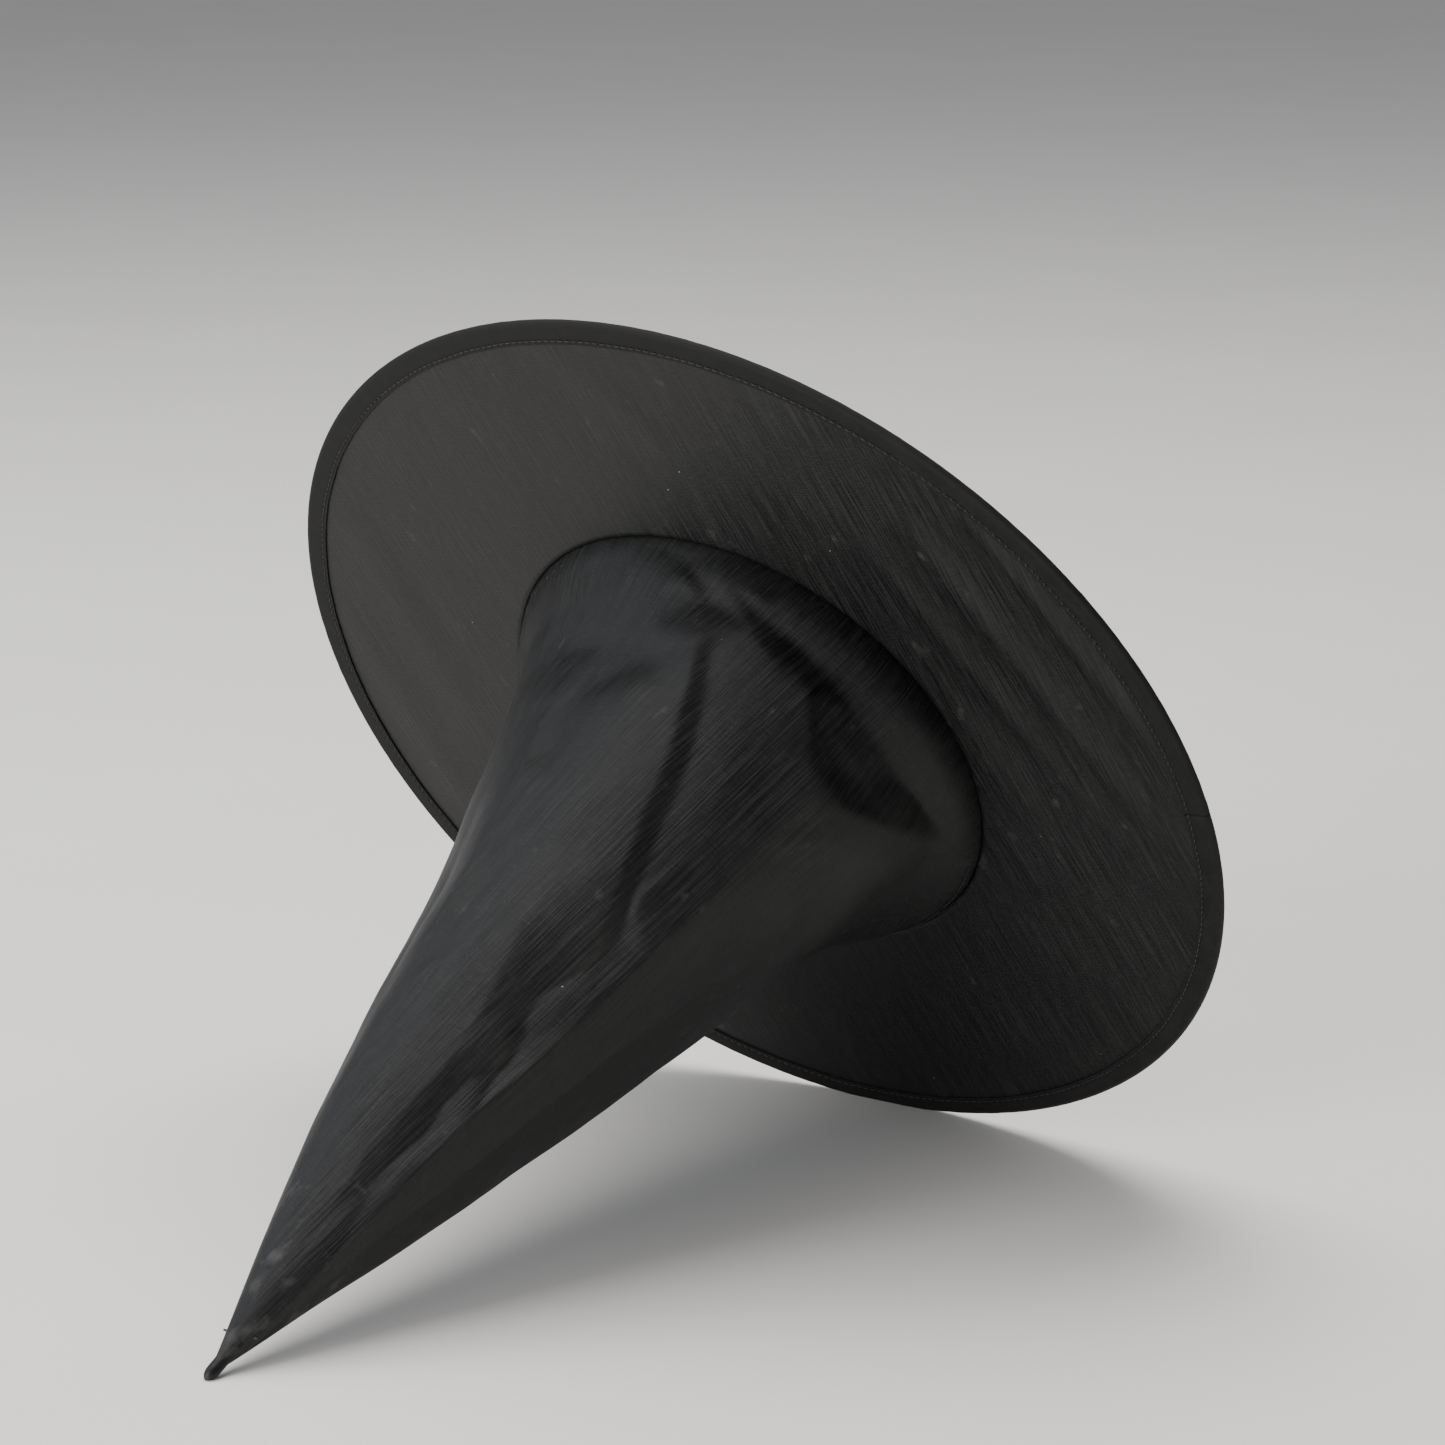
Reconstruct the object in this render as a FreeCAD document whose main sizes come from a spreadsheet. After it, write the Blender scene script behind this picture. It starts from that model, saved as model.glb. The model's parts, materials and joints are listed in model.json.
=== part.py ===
"""Witch's hat: a stiffened, bound brim sewn to a soft cone that has slumped onto its side.

Every piece is drawn with the hat standing upright (brim in the XY plane, cone up +Z, head
opening below) and then takes one shared placement, which lays the hat down on the floor so that
it rests on the tip of its cone and on the edge of its brim.  Lengths are millimetres.
"""
import FreeCAD
import Part
import Sketcher
import math
import os

DIMENSIONS = {
    # the brim
    "brim_radius": 190.0,
    "cloth_thickness": 0.5,
    "brim_board_thickness": 1.8,
    "brim_hole_radius": 96.0,
    "turned_edge_radius": 93.0,
    "turned_edge_height": 12.0,
    # the bound rim and its hoop
    "binding_thickness": 0.6,
    "binding_fold": 0.8,
    "rim_flat": 0.8,
    "rim_bevel": 0.9,
    "binding_width": 9.0,
    "hoop_wire_radius": 1.0,
    "hoop_gap_angle": 2.0,
    "sleeve_inner_radius": 1.06,
    "sleeve_outer_radius": 1.4,
    "sleeve_angle": 9.0,
    # the cone
    "crown_height": 323.0,
    "crown_foot_radius": 95.8,
    "crown_bend_radius": 95.0,
    "crown_bend_height": 15.0,
    "crown_tip_radius": 4.0,
    "crown_tip_cap": 3.0,
    "crown_lean": -25.0,
    "crown_cloth_thickness": 0.6,
    "crown_board_thickness": 0.8,
    "crown_board_foot": 16.0,
    "crown_board_head": 290.0,
    "crown_seam_angle": -50.0,
    # the band, its thread and the label
    "band_radius": 92.0,
    "band_thickness": 0.9,
    "band_height": 14.0,
    "band_seam_height": 2.5,
    "thread_radius": 0.25,
    "fine_thread_radius": 0.15,
    "label_width": 24.0,
    "label_height": 22.0,
    "label_thickness": 0.4,
    "label_angle": -110.0,
    "tack_radius": 0.5,
    "tack_height": 304.0,
    # the least space left between two layers
    "clearance": 0.1,
}

# dimensions that follow from the ones above, as the sheet's own formulas
DERIVED = {
    "brim_thickness": "2 * cloth_thickness + brim_board_thickness",
    "brim_middle": "brim_thickness / 2",
    "channel_radius": "brim_middle + clearance",
    "rim_radius": "channel_radius + binding_thickness",
    "rim_centre": "brim_radius - rim_radius",
    "hoop_radius": "rim_centre - binding_fold",
    "layer_radius": "hoop_radius - sleeve_outer_radius - 0.3",
    "binding_edge": "brim_radius - binding_width",
    "stitch_radius": "binding_edge + 1.5",
    "crown_foot": "cloth_thickness + clearance",
    "shoulder_height": "crown_height - crown_tip_cap",
    "crown_slope": "(crown_bend_radius - crown_tip_radius) / (shoulder_height - crown_bend_height)",
    # the tilt at which the flat of the rim and the shoulder of the tip both lie on the floor
    "reach_across": "rim_centre - crown_tip_radius",
    "reach_up": "shoulder_height - brim_middle",
    "reach": "sqrt(reach_across ^ 2 + reach_up ^ 2)",
    "tilt": "atan2(reach_across; reach_up) + asin((rim_radius - rim_flat) / reach)",
}


def make_sheet(doc):
    """Put the driving dimensions, and what follows from them, in a spreadsheet."""
    sheet = doc.addObject("Spreadsheet::Sheet", "Sizes")
    row = 1
    for alias, value in DIMENSIONS.items():
        sheet.set(f"A{row}", alias)
        sheet.set(f"B{row}", str(value))
        sheet.setAlias(f"B{row}", alias)
        row += 1
    for alias, formula in DERIVED.items():
        sheet.set(f"A{row}", alias)
        sheet.set(f"B{row}", f"={formula}")
        sheet.setAlias(f"B{row}", alias)
        row += 1
    doc.recompute()
    return sheet


def plain(cell):
    """A cell's value as a number: the sheet hands an angle back as a quantity in degrees."""
    return float(getattr(cell, "Value", cell))


def named(text):
    """Turn the bare dimension names in a formula into references to the sheet."""
    words = sorted(list(DIMENSIONS) + list(DERIVED), key=len, reverse=True)
    for index, word in enumerate(words):
        text = text.replace(word, f"<{index}>")
    for index, word in enumerate(words):
        text = text.replace(f"<{index}>", f"Sizes.{word}")
    return text


def origin_plane(body, role):
    """One of a body's own origin planes, by its role."""
    return next(plane for plane in body.Origin.OriginFeatures if plane.Role == role)


def new_body(doc, label):
    """An empty body whose label is also the name of its file."""
    body = doc.addObject("PartDesign::Body", label)
    body.Label = label
    return body


def new_sketch(body, name, role="XZ_Plane", lift=None):
    """A sketch on one of the body's origin planes, raised along its normal by a formula."""
    sketch = body.newObject("Sketcher::SketchObject", name)
    sketch.AttachmentSupport = (origin_plane(body, role), [""])
    sketch.MapMode = "FlatFace"
    if lift is not None:
        sketch.setExpression("AttachmentOffset.Base.z", named(lift))
    return sketch


def place(sketch, kind, geometry, point, name, formula):
    """Set how far a sketch point lies from the origin, along x or y, by a formula."""
    here = sketch.getPoint(geometry, point)
    start = here.x if kind == "DistanceX" else here.y
    number = sketch.addConstraint(Sketcher.Constraint(kind, -1, 1, geometry, point, start))
    sketch.renameConstraint(number, name)
    sketch.setExpression(f"Constraints.{name}", named(formula))


def measure_radius(sketch, geometry, name, formula):
    """Set the radius of a circle or an arc in a sketch by a formula."""
    number = sketch.addConstraint(Sketcher.Constraint("Radius", geometry, sketch.Geometry[geometry].Radius))
    sketch.renameConstraint(number, name)
    sketch.setExpression(f"Constraints.{name}", named(formula))


def chain(sketch, corners, start_values):
    """A closed outline of straight lines through corners, each given as a pair of formulas."""
    count = len(corners)
    points = [FreeCAD.Vector(x, y, 0) for x, y in start_values]
    for index in range(count):
        sketch.addGeometry(Part.LineSegment(points[index], points[(index + 1) % count]), False)
    for index in range(count):
        sketch.addConstraint(Sketcher.Constraint("Coincident", index, 2, (index + 1) % count, 1))
    for index, (across, up) in enumerate(corners):
        place(sketch, "DistanceX", index, 1, f"across{index}", across)
        place(sketch, "DistanceY", index, 1, f"up{index}", up)


def circle(sketch, radius, across=None, up=None, index=0):
    """A circle of a given radius whose centre is given by formulas, or is the origin."""
    geometry = sketch.addGeometry(Part.Circle(FreeCAD.Vector(1, 1, 0), FreeCAD.Vector(0, 0, 1), 2), False)
    measure_radius(sketch, geometry, f"radius{index}", radius)
    if across is None:
        sketch.addConstraint(Sketcher.Constraint("Coincident", geometry, 3, -1, 1))
    else:
        place(sketch, "DistanceX", geometry, 3, f"across{index}", across)
        place(sketch, "DistanceY", geometry, 3, f"up{index}", up)


def tongue(sketch, root, centre, middle, half):
    """A flat tongue that starts at x = root and ends in a half circle about x = centre."""
    corners = [FreeCAD.Vector(x, y, 0) for x, y in ((180, -1), (188, -1), (188, 3), (180, 3))]
    round_end = Part.Circle(FreeCAD.Vector(188, 1, 0), FreeCAD.Vector(0, 0, 1), 2)
    low = sketch.addGeometry(Part.LineSegment(corners[0], corners[1]), False)
    arc = sketch.addGeometry(Part.ArcOfCircle(round_end, -math.pi / 2, math.pi / 2), False)
    high = sketch.addGeometry(Part.LineSegment(corners[2], corners[3]), False)
    back = sketch.addGeometry(Part.LineSegment(corners[3], corners[0]), False)
    sketch.addConstraint(Sketcher.Constraint("Tangent", low, 2, arc, 1))
    sketch.addConstraint(Sketcher.Constraint("Tangent", arc, 2, high, 1))
    sketch.addConstraint(Sketcher.Constraint("Coincident", high, 2, back, 1))
    sketch.addConstraint(Sketcher.Constraint("Coincident", back, 2, low, 1))
    sketch.addConstraint(Sketcher.Constraint("Horizontal", low))
    sketch.addConstraint(Sketcher.Constraint("Horizontal", high))
    sketch.addConstraint(Sketcher.Constraint("Vertical", back))
    place(sketch, "DistanceX", low, 1, "root", root)
    place(sketch, "DistanceX", arc, 3, "centre", centre)
    place(sketch, "DistanceY", arc, 3, "middle", middle)
    measure_radius(sketch, arc, "half", half)


def spin(body, sketch, kind="Revolution", angle="360", midplane=False):
    """Turn a profile about the hat's own axis, to add a solid or to cut a groove."""
    feature = body.newObject(f"PartDesign::{kind}", f"{kind}_{sketch.Name}")
    feature.Profile = sketch
    feature.ReferenceAxis = (sketch, ["V_Axis"])
    feature.Midplane = midplane
    feature.setExpression("Angle", named(angle))
    sketch.Visibility = False
    return feature


def ring(doc, label, corners, start_values):
    """A full ring with a straight-sided section."""
    body = new_body(doc, label)
    sketch = new_sketch(body, f"{label}_section")
    chain(sketch, corners, start_values)
    spin(body, sketch)
    return body


def thread_ring(doc, label, radius, height, thickness):
    """A sewing thread that runs once round the hat."""
    body = new_body(doc, label)
    sketch = new_sketch(body, f"{label}_section")
    circle(sketch, thickness, radius, height)
    spin(body, sketch)
    return body


def brim_upper_cloth(doc):
    """The flat annulus of taffeta on the cone's side of the brim."""
    body = new_body(doc, "brim_upper_cloth")
    sketch = new_sketch(body, "brim_upper_cloth_outline", "XY_Plane", "cloth_thickness + brim_board_thickness")
    circle(sketch, "layer_radius", index=0)
    circle(sketch, "brim_hole_radius", index=1)
    pad = body.newObject("PartDesign::Pad", "brim_upper_cloth_pad")
    pad.Profile = sketch
    pad.setExpression("Length", named("cloth_thickness"))
    return body


def brim_stiffener(doc):
    """The non-woven board between the two faces of the brim."""
    body = new_body(doc, "brim_stiffener")
    sketch = new_sketch(body, "brim_stiffener_outline", "XY_Plane", "cloth_thickness")
    circle(sketch, "layer_radius", index=0)
    circle(sketch, "brim_hole_radius", index=1)
    pad = body.newObject("PartDesign::Pad", "brim_stiffener_pad")
    pad.Profile = sketch
    pad.setExpression("Length", named("brim_board_thickness"))
    return body


def brim_under_cloth(doc):
    """The taffeta under the brim, whose inner edge turns up into the head opening."""
    corners = [
        ("turned_edge_radius", "0"),
        ("layer_radius", "0"),
        ("layer_radius", "cloth_thickness"),
        ("turned_edge_radius + cloth_thickness", "cloth_thickness"),
        ("turned_edge_radius + cloth_thickness", "turned_edge_height"),
        ("turned_edge_radius", "turned_edge_height"),
    ]
    return ring(doc, "brim_under_cloth", corners, [(93, 0), (186, 0), (186, 1), (94, 1), (94, 12), (93, 12)])


def rim_hoop(doc):
    """The sprung wire in the rim, an open ring whose two ends meet inside the sleeve."""
    body = new_body(doc, "rim_hoop")
    sketch = new_sketch(body, "rim_hoop_section")
    circle(sketch, "hoop_wire_radius", "hoop_radius", "brim_middle")
    spin(body, sketch, angle="360 - hoop_gap_angle", midplane=True)
    return body


def hoop_sleeve(doc):
    """The crimped tube that joins the two ends of the hoop."""
    body = new_body(doc, "hoop_sleeve")
    sketch = new_sketch(body, "hoop_sleeve_section")
    circle(sketch, "sleeve_outer_radius", "-hoop_radius", "brim_middle", index=0)
    circle(sketch, "sleeve_inner_radius", "-hoop_radius", "brim_middle", index=1)
    spin(body, sketch, angle="sleeve_angle", midplane=True)
    return body


def rim_binding(doc):
    """The bias tape folded over the rim, with the hoop's channel, pressed flat where it lies on the floor."""
    body = new_body(doc, "rim_binding")
    outside = new_sketch(body, "rim_binding_outside")
    low, high = "brim_middle - rim_radius", "brim_middle + rim_radius"
    chain(outside, [
        ("binding_edge", low),
        ("brim_radius - rim_bevel", low),
        ("brim_radius", f"{low} + rim_bevel"),
        ("brim_radius", f"{high} - rim_bevel"),
        ("brim_radius - rim_bevel", high),
        ("binding_edge", high),
    ], [(181, -1), (189, -1), (190, 0), (190, 3), (189, 4), (181, 4)])
    spin(body, outside)
    doc.recompute()
    solid_volume = body.Shape.Volume
    channel = new_sketch(body, "rim_binding_channel")
    tongue(channel, "binding_edge - 1", "hoop_radius", "brim_middle", "channel_radius")
    spin(body, channel, "Groove")
    doc.recompute()
    round_volume = body.Shape.Volume
    if round_volume > 0.9 * solid_volume:
        raise RuntimeError("the binding's channel cut nothing")
    floor = new_sketch(body, "rim_binding_floor", "YZ_Plane")
    corners = []
    for along, down in ((-10, 0), (10, 0), (10, 6), (-10, 6)):
        depth = f"(rim_radius - rim_flat + {down})"
        corners.append((
            f"-rim_centre - {depth} * cos(tilt) + ({along}) * sin(tilt)",
            f"brim_middle + {depth} * sin(tilt) + ({along}) * cos(tilt)",
        ))
    chain(floor, corners, [(-194, -8), (-184, 9), (-189, 12), (-199, -5)])
    pocket = body.newObject("PartDesign::Pocket", "rim_binding_flat")
    pocket.Profile = floor
    pocket.setExpression("Length", named("crown_foot_radius"))
    pocket.Midplane = True
    floor.Visibility = False
    doc.recompute()
    if not 0.98 * round_volume < body.Shape.Volume < round_volume - 1:
        raise RuntimeError("the floor pressed the wrong amount off the binding")
    return body


def wall(height, offset):
    """The radius, at a height above the bend, of a surface that lies inside the cone by an offset."""
    return f"crown_bend_radius - ({height} - crown_bend_height) * crown_slope - {offset}"


def loft(body, name, kind, sections):
    """A ruled loft through level circles whose centres drift sideways as the cone leans.

    Each section is a (height, radius) pair of formulas.
    """
    sketches = []
    for index, (height, radius) in enumerate(sections):
        sketch = new_sketch(body, f"{name}{index}", "XY_Plane", height)
        drift = f"crown_lean * (max({height}; crown_bend_height) - crown_bend_height)"
        circle(sketch, radius, f"{drift} / (crown_height - crown_bend_height)", "0")
        sketches.append(sketch)
    feature = body.newObject(f"PartDesign::{kind}", name)
    feature.Profile = sketches[0]
    feature.Sections = sketches[1:]
    feature.Ruled = True
    return feature


def hollow(doc, body, name, sections):
    """Cut the inside out of a lofted cone, and check that it was cut."""
    doc.recompute()
    solid_volume = body.Shape.Volume
    loft(body, name, "SubtractiveLoft", sections)
    doc.recompute()
    if body.Shape.Volume > 0.5 * solid_volume:
        raise RuntimeError(f"{name} cut too little")


def crown_cloth(doc):
    """The taffeta cone, closed at its tip, leaning to one side where it has slumped."""
    body = new_body(doc, "crown_cloth")
    loft(body, "crown_outside", "AdditiveLoft", [
        ("crown_foot", "crown_foot_radius"),
        ("crown_bend_height", "crown_bend_radius"),
        ("shoulder_height", "crown_tip_radius"),
        ("crown_height", "crown_tip_radius / 3"),
    ])
    hollow(doc, body, "crown_inside", [
        ("crown_foot", "crown_foot_radius - crown_cloth_thickness"),
        ("crown_bend_height", "crown_bend_radius - crown_cloth_thickness"),
        ("shoulder_height", "crown_tip_radius - crown_cloth_thickness"),
    ])
    return body


def crown_stiffener(doc):
    """The soft non-woven board behind the cone's cloth, open at both ends."""
    body = new_body(doc, "crown_stiffener")
    outer = "crown_cloth_thickness - clearance"
    inner = "crown_cloth_thickness - clearance - crown_board_thickness"
    ends = ("crown_board_foot", "crown_board_head")
    loft(body, "board_outside", "AdditiveLoft", [(end, wall(end, outer)) for end in ends])
    hollow(doc, body, "board_inside", [(end, wall(end, inner)) for end in ends])
    return body


def sweatband(doc):
    """The tape sewn round the head opening, with the shallow dent that its thread pulls into it."""
    dent = "2.5 * fine_thread_radius"
    corners = [
        ("band_radius", "0"),
        ("band_radius + band_thickness", "0"),
        ("band_radius + band_thickness", "band_height"),
        ("band_radius", "band_height"),
        ("band_radius", f"band_seam_height + {dent}"),
        (f"band_radius + {dent}", f"band_seam_height + {dent}"),
        (f"band_radius + {dent}", f"band_seam_height - {dent}"),
        ("band_radius", f"band_seam_height - {dent}"),
    ]
    start = [(92, 0), (93, 0), (93, 14), (92, 14), (92, 3), (92.4, 3), (92.4, 2), (92, 2)]
    return ring(doc, "sweatband", corners, start)


def on_wall(values, height, angle, offset):
    """A point inside the cone, at a height and a bearing, inside the outer surface by an offset."""
    above = height - values["crown_bend_height"]
    radius = values["crown_bend_radius"] - above * values["crown_slope"] - offset
    drift = values["crown_lean"] * above / (values["crown_height"] - values["crown_bend_height"])
    bearing = math.radians(angle)
    return FreeCAD.Vector(drift + radius * math.cos(bearing), radius * math.sin(bearing), height)


def crown_seam_thread(doc, values):
    """The thread of the cone's one long seam, which lies along the inside of the board."""
    thread = doc.addObject("Part::Cylinder", "crown_seam_thread")
    thread.Label = "crown_seam_thread"
    thread.setExpression("Radius", named("thread_radius"))
    layers = values["crown_cloth_thickness"] + values["crown_board_thickness"]
    offset = layers + 2 * values["clearance"] + values["thread_radius"]
    start = on_wall(values, values["crown_board_foot"], values["crown_seam_angle"], offset)
    end = on_wall(values, values["crown_board_head"], values["crown_seam_angle"], offset)
    thread.Height = (end - start).Length
    thread.Placement = FreeCAD.Placement(start, FreeCAD.Rotation(FreeCAD.Vector(0, 0, 1), end - start))
    return thread


def tip_tack(doc, values):
    """The bar of thread that ties the folded tip of the cone from the inside."""
    tack = doc.addObject("Part::Cylinder", "tip_tack")
    tack.Label = "tip_tack"
    tack.setExpression("Radius", named("tack_radius"))
    offset = "crown_cloth_thickness - tack_radius"
    tack.setExpression("Height", named(f"2 * ({wall('tack_height', offset)})"))
    doc.recompute()
    middle = on_wall(values, values["tack_height"], 0, 0)
    middle.x = values["crown_lean"] * (values["tack_height"] - values["crown_bend_height"])
    middle.x = middle.x / (values["crown_height"] - values["crown_bend_height"])
    start = middle - FreeCAD.Vector(tack.Height.Value / 2, 0, 0)
    across = FreeCAD.Rotation(FreeCAD.Vector(0, 0, 1), FreeCAD.Vector(1, 0, 0))
    tack.Placement = FreeCAD.Placement(start, across)
    return tack


def size_label(doc, values):
    """The blank woven label that stands up from the band against the inside of the cone."""
    label = doc.addObject("Part::Box", "size_label")
    label.Label = "size_label"
    label.setExpression("Length", named("label_width"))
    label.setExpression("Width", named("label_thickness"))
    label.setExpression("Height", named("label_height"))
    bearing = FreeCAD.Rotation(FreeCAD.Vector(0, 0, 1), values["label_angle"] + 90)
    tip_in = FreeCAD.Rotation(FreeCAD.Vector(1, 0, 0), -math.degrees(math.atan(values["crown_slope"])))
    radius = values["band_radius"]
    foot = FreeCAD.Vector(-values["label_width"] / 2, -radius, values["band_height"] + 3 * values["clearance"])
    stand = FreeCAD.Placement(foot, tip_in)
    label.Placement = FreeCAD.Placement(FreeCAD.Vector(0, 0, 0), bearing).multiply(stand)
    return label


def lay_down(values):
    """The placement that tips the upright hat over, so that it lies with its middle over the origin.

    The flat of the rim and the shoulder of the tip come down on the floor together.
    """
    tilt = math.radians(values["tilt"])
    press = values["rim_radius"] - values["rim_flat"]
    rise = values["rim_centre"] * math.cos(tilt) + values["brim_middle"] * math.sin(tilt) + press
    ahead = values["crown_height"] * math.cos(tilt) + values["crown_tip_radius"] / 3 * math.sin(tilt)
    bevel_radius = values["brim_radius"] - values["rim_bevel"]
    bevel_drop = values["rim_radius"] - values["brim_middle"]
    behind = bevel_radius * math.sin(tilt) + bevel_drop * math.cos(tilt)
    turn = FreeCAD.Rotation(FreeCAD.Vector(1, 0, 0), 90 + values["tilt"])
    return FreeCAD.Placement(FreeCAD.Vector(0, (ahead - behind) / 2, rise), turn)


def check(doc, pieces):
    """Stop if any object failed to compute or any piece has no sound solid."""
    for item in doc.Objects:
        if "Invalid" in item.State or "Error" in item.State:
            raise RuntimeError(f"{item.Label} did not compute: {item.State}")
    for piece in pieces:
        shape = piece.Shape
        if shape.isNull() or not shape.isValid() or not shape.Solids:
            raise RuntimeError(f"{piece.Label} has no valid solid")


def main():
    doc = FreeCAD.newDocument("witch_hat")
    sheet = make_sheet(doc)
    values = {alias: plain(sheet.get(alias)) for alias in list(DIMENSIONS) + list(DERIVED)}
    above = "brim_middle + rim_radius + thread_radius + clearance"
    below = "brim_middle - rim_radius - thread_radius - clearance"
    head_seam = "turned_edge_radius + cloth_thickness + thread_radius + 3 * clearance"
    band_seam = "band_radius + fine_thread_radius"
    pieces = [
        brim_upper_cloth(doc),
        brim_stiffener(doc),
        brim_under_cloth(doc),
        rim_hoop(doc),
        hoop_sleeve(doc),
        rim_binding(doc),
        thread_ring(doc, "binding_needle_thread", "stitch_radius", above, "thread_radius"),
        thread_ring(doc, "binding_bobbin_thread", "stitch_radius", below, "thread_radius"),
        crown_cloth(doc),
        crown_stiffener(doc),
        crown_seam_thread(doc, values),
        thread_ring(doc, "head_seam_thread", head_seam, "turned_edge_height / 2", "thread_radius"),
        sweatband(doc),
        thread_ring(doc, "sweatband_thread", band_seam, "band_seam_height", "fine_thread_radius"),
        tip_tack(doc, values),
        size_label(doc, values),
    ]
    doc.recompute()
    placement = lay_down(values)
    for piece in pieces:
        piece.Placement = placement.multiply(piece.Placement)
    doc.recompute()
    check(doc, pieces)
    os.makedirs("parts", exist_ok=True)
    for piece in pieces:
        piece.Shape.exportStep(f"parts/{piece.Label}.step")
        box = piece.Shape.BoundBox
        print(f"{piece.Label:24s} {piece.Shape.Volume:12.1f} mm3  z {box.ZMin:8.2f} to {box.ZMax:8.2f}")
    print("placement", placement)


main()
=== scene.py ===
"""Looks of the witch's hat: cloth, seams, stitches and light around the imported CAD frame.

Shapes are worked out in the hat's own upright coordinates, in millimetres: the brim's underside is
the plane z = 0, the cone rises along +z, and bearings are degrees round the axis, from +x towards
+y.  hat_point() carries them into the frame, where the hat lies on its side.
"""
import json
import math

import bmesh
import bpy
import numpy as np
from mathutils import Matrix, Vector, noise
from mathutils.geometry import delaunay_2d_cdt


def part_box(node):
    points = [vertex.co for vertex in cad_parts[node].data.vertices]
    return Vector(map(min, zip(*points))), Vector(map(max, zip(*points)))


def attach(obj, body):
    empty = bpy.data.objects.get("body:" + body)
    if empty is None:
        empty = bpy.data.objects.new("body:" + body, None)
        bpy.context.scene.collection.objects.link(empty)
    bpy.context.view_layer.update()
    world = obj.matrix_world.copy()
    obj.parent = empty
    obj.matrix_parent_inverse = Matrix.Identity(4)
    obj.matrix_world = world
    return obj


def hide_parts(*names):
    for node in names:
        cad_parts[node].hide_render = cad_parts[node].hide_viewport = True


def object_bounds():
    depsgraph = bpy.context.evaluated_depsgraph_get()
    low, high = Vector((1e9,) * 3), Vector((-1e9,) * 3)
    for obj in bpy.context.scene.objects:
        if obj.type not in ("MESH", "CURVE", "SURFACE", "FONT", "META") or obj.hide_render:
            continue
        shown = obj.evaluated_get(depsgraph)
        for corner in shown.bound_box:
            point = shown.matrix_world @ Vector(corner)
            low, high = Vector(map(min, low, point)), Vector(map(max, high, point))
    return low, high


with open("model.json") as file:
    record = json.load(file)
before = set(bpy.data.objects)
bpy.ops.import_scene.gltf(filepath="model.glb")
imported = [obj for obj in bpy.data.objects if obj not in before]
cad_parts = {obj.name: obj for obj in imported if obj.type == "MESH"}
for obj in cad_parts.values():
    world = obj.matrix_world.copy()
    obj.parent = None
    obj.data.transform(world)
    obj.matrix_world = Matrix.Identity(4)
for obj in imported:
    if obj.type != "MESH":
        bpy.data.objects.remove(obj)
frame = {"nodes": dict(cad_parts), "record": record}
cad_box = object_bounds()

MM = 0.001

# ---------------------------------------------------------------- the hat's own coordinates

opening = next(mount for mount in frame["record"]["mounts"] if mount["name"] == "head_opening")
UP = -Vector(opening["axis"]).normalized()
ACROSS = Vector((1, 0, 0))
BACK = UP.cross(ACROSS)
BAND_HEIGHT = opening["dims"]["length_mm"]
BAND_RADIUS = opening["dims"]["r_mm"]
BASE = Vector(opening["pos_m"]) - UP * BAND_HEIGHT / 2 * MM

BRIM_RADIUS = (cad_box[1][0] - cad_box[0][0]) / 2 / MM
CLOTH = 0.5
BOARD = 1.8
BRIM_THICK = 2 * CLOTH + BOARD
BRIM_MIDDLE = BRIM_THICK / 2
HOLE_RADIUS = 96.0
TURNED_RADIUS = 93.0
TURNED_HEIGHT = 12.0
LAYER_RADIUS = 185.4
BINDING_EDGE = 181.0
BINDING_THICK = 0.6
HOOP_RADIUS = 187.1
STITCH_RADIUS = BINDING_EDGE + 1.5

CROWN_HEIGHT = 323.0
CROWN_FOOT = 0.6
CROWN_FOOT_RADIUS = 95.8
CROWN_CLOTH = 0.6
CROWN_BOARD = 0.8
CROWN_LEAN = -25.0
SEAM_BEARING = -50.0
GAP = 0.1
PRESS_ROOM = 0.7


def hat_point(x, y, z):
    """A point of the upright hat, in millimetres, as a place in the frame, in metres."""
    return BASE + (ACROSS * x + BACK * y + UP * z) * MM


def polar(radius, bearing, z):
    """A point of the upright hat by its distance from the axis and its bearing in degrees."""
    angle = math.radians(bearing)
    return hat_point(radius * math.cos(angle), radius * math.sin(angle), z)


def smooth(value, low, high):
    """0 below low, 1 above high, and an S curve between."""
    part = min(1.0, max(0.0, (value - low) / (high - low)))
    return part * part * (3 - 2 * part)


# ---------------------------------------------------------------- camera

CAMERA_AZIMUTH = 34.608
CAMERA_ELEVATION = 13.411
CAMERA_DISTANCE = 1.6233
AIM_OFFSET = (0.0, 0.0740, 0.0089)
SENSOR_WIDTH = 36.0
LENS = 112.1107


def make_camera():
    """Aim at the hat from in front of its tip, a little above it, with a long lens."""
    centre = Vector(((cad_box[0][i] + cad_box[1][i]) / 2 for i in range(3)))
    aim = centre + Vector(AIM_OFFSET)
    azimuth = math.radians(CAMERA_AZIMUTH)
    elevation = math.radians(CAMERA_ELEVATION)
    level = math.cos(elevation)
    away = Vector((math.sin(azimuth) * level, -math.cos(azimuth) * level, math.sin(elevation)))
    camera = bpy.data.objects.new("camera", bpy.data.cameras.new("camera"))
    camera.location = aim + away * CAMERA_DISTANCE
    camera.rotation_euler = (-away).to_track_quat("-Z", "Y").to_euler()
    camera.data.sensor_width = SENSOR_WIDTH
    camera.data.lens = LENS
    bpy.context.scene.collection.objects.link(camera)
    bpy.context.scene.camera = camera


make_camera()

# ---------------------------------------------------------------- the brim's shape

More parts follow.
